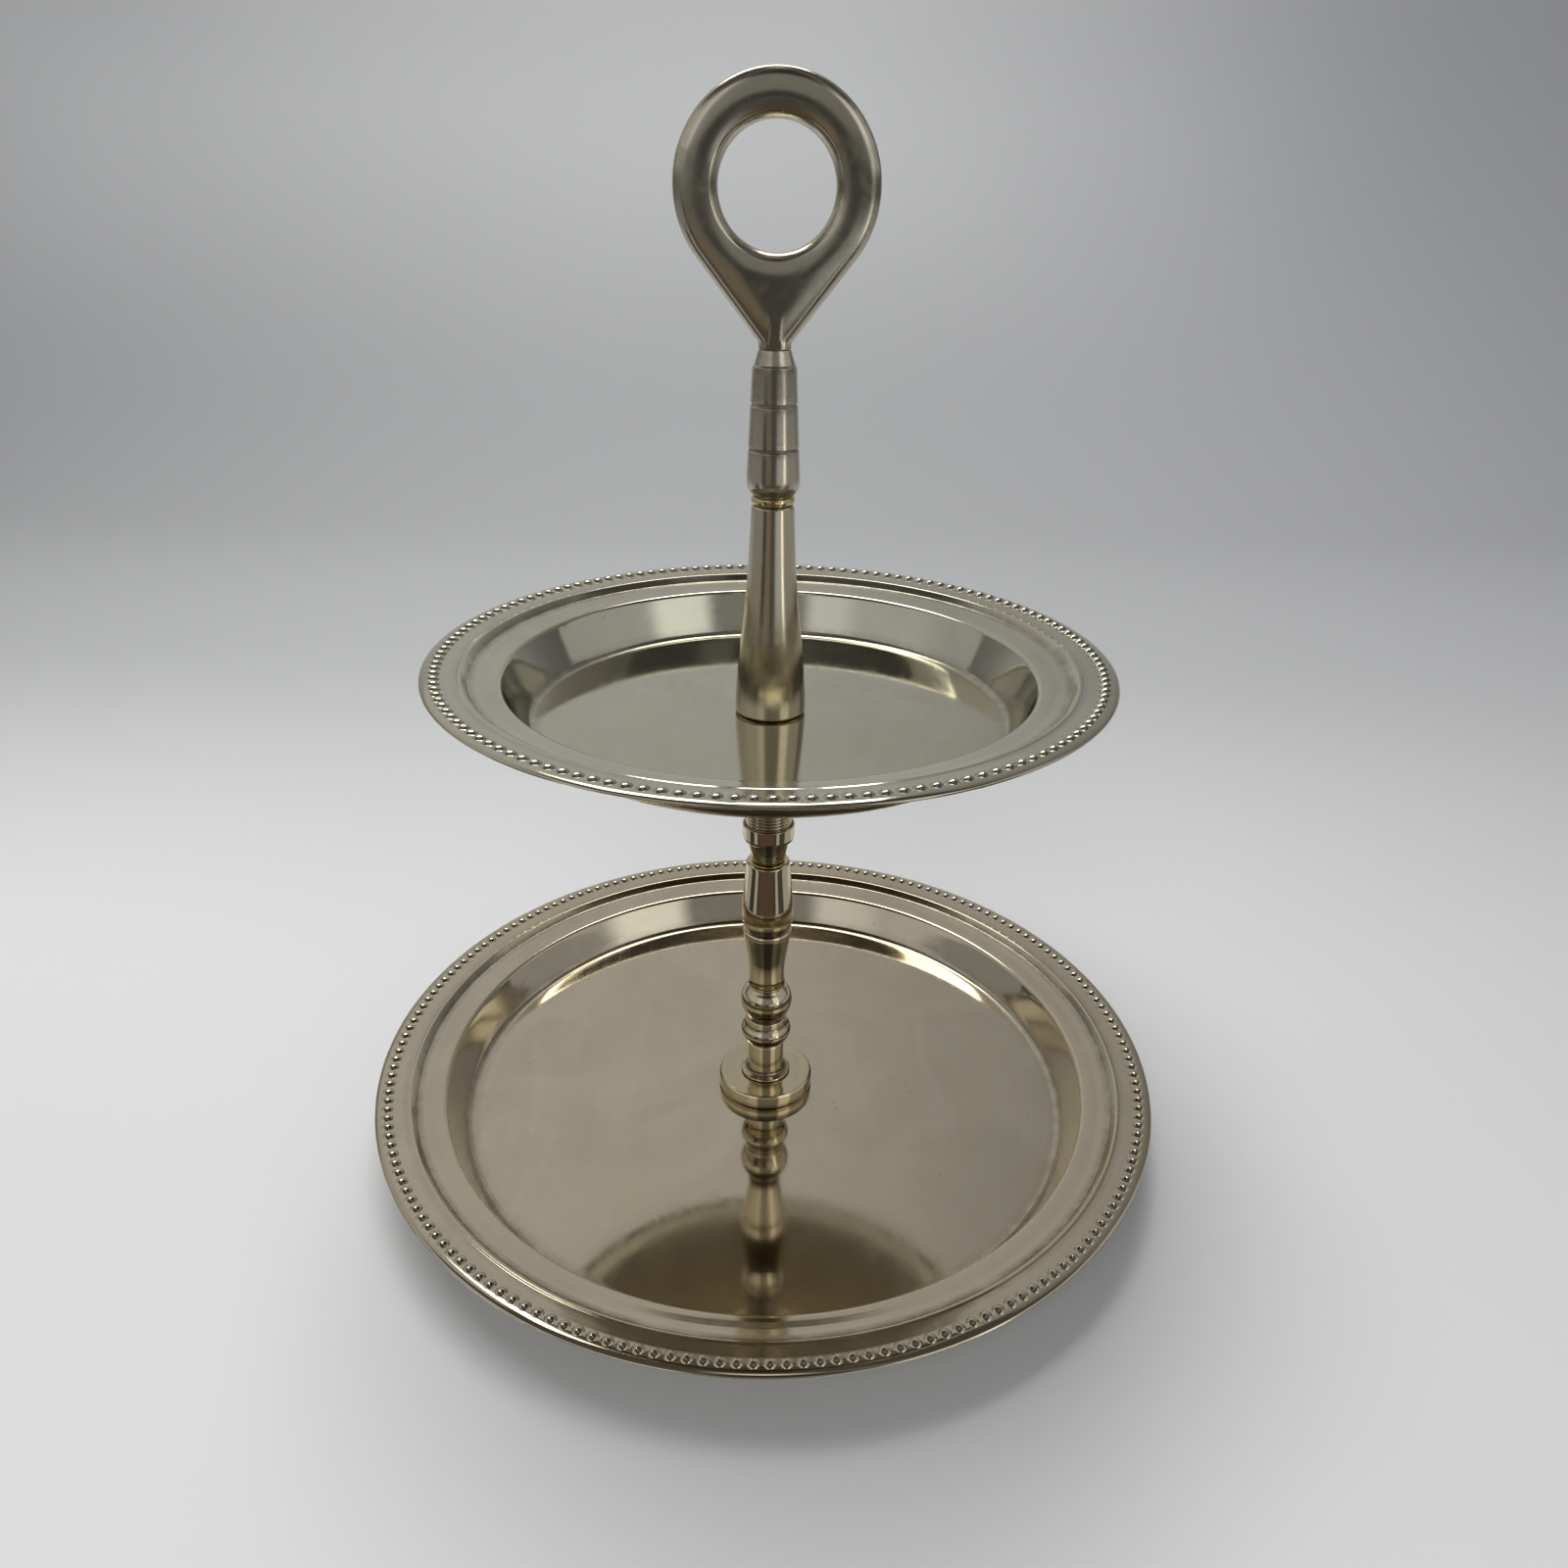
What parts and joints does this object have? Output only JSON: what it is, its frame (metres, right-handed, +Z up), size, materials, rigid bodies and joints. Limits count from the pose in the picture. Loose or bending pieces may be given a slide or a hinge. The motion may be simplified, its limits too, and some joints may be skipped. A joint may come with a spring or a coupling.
{
  "type": "tiered cake stand",
  "caption": "Two-tier metal cake stand: round beaded trays on a turned column, with a ring handle that screws down on a central tie rod.",
  "frame": {"origin": "on the stand's axis, at the plane of the foot pads' lower faces, which is the surface it stands on", "axes": "+Z up along the column, towards the handle; the handle's ring lies in the XZ plane and its finger hole runs along Y"},
  "size_m": [0.26, 0.26, 0.3156],
  "materials": {
    "tray_plate": "old silver plate, polished, lightly tarnished and wiped",
    "column_plate": "bright plate over turned brass",
    "handle_plate": "worn plate with fine scratches",
    "worn_brass": "polished, thin plate worn through to brass",
    "fastener_steel": "zinc plated",
    "rubber": "matt",
    "fibre": "matt pressed fibre"
  },
  "bodies": {
    "stand": {"lower_tray": "tray_plate", "foot_pad_1": "rubber", "foot_pad_2": "rubber", "foot_pad_3": "rubber", "foot_pad_4": "rubber", "bottom_washer": "fastener_steel", "lock_washer": "fastener_steel", "rod_nut": "fastener_steel", "tie_rod": "fastener_steel", "base_disc": "column_plate", "column_ferrule": "column_plate", "skirted_bead": "column_plate", "round_bead": "column_plate", "vase_spacer": "column_plate", "baluster": "column_plate", "cup_collar": "column_plate", "ribbed_spacer": "column_plate", "tray_support": "column_plate"},
    "upper_tray": {"upper_tray": "tray_plate", "tray_washer": "fibre"},
    "sleeve": {"tapered_sleeve": "column_plate", "collar_ring": "worn_brass"},
    "handle": {"handle_grip": "handle_plate", "ring_handle": "handle_plate"}
  },
  "joints": [
    {"name": "upper_tray_turn", "type": "hinge", "parent": "stand", "child": "upper_tray", "pos_m": [0, 0, 0.148], "axis": [0, 0, 1], "continuous": true},
    {"name": "handle_turn", "type": "hinge", "parent": "stand", "child": "sleeve", "pos_m": [0, 0, 0.2], "axis": [0, 0, 1], "range_deg": [0, 5040]},
    {"name": "handle_lift", "type": "slide", "parent": "sleeve", "child": "handle", "axis": [0, 0, 1], "range_m": [0, 0.014]}
  ],
  "couplings": [
    {"joint": "handle_lift", "follows": "handle_turn", "m_per_rad": 0.00015915}
  ]
}
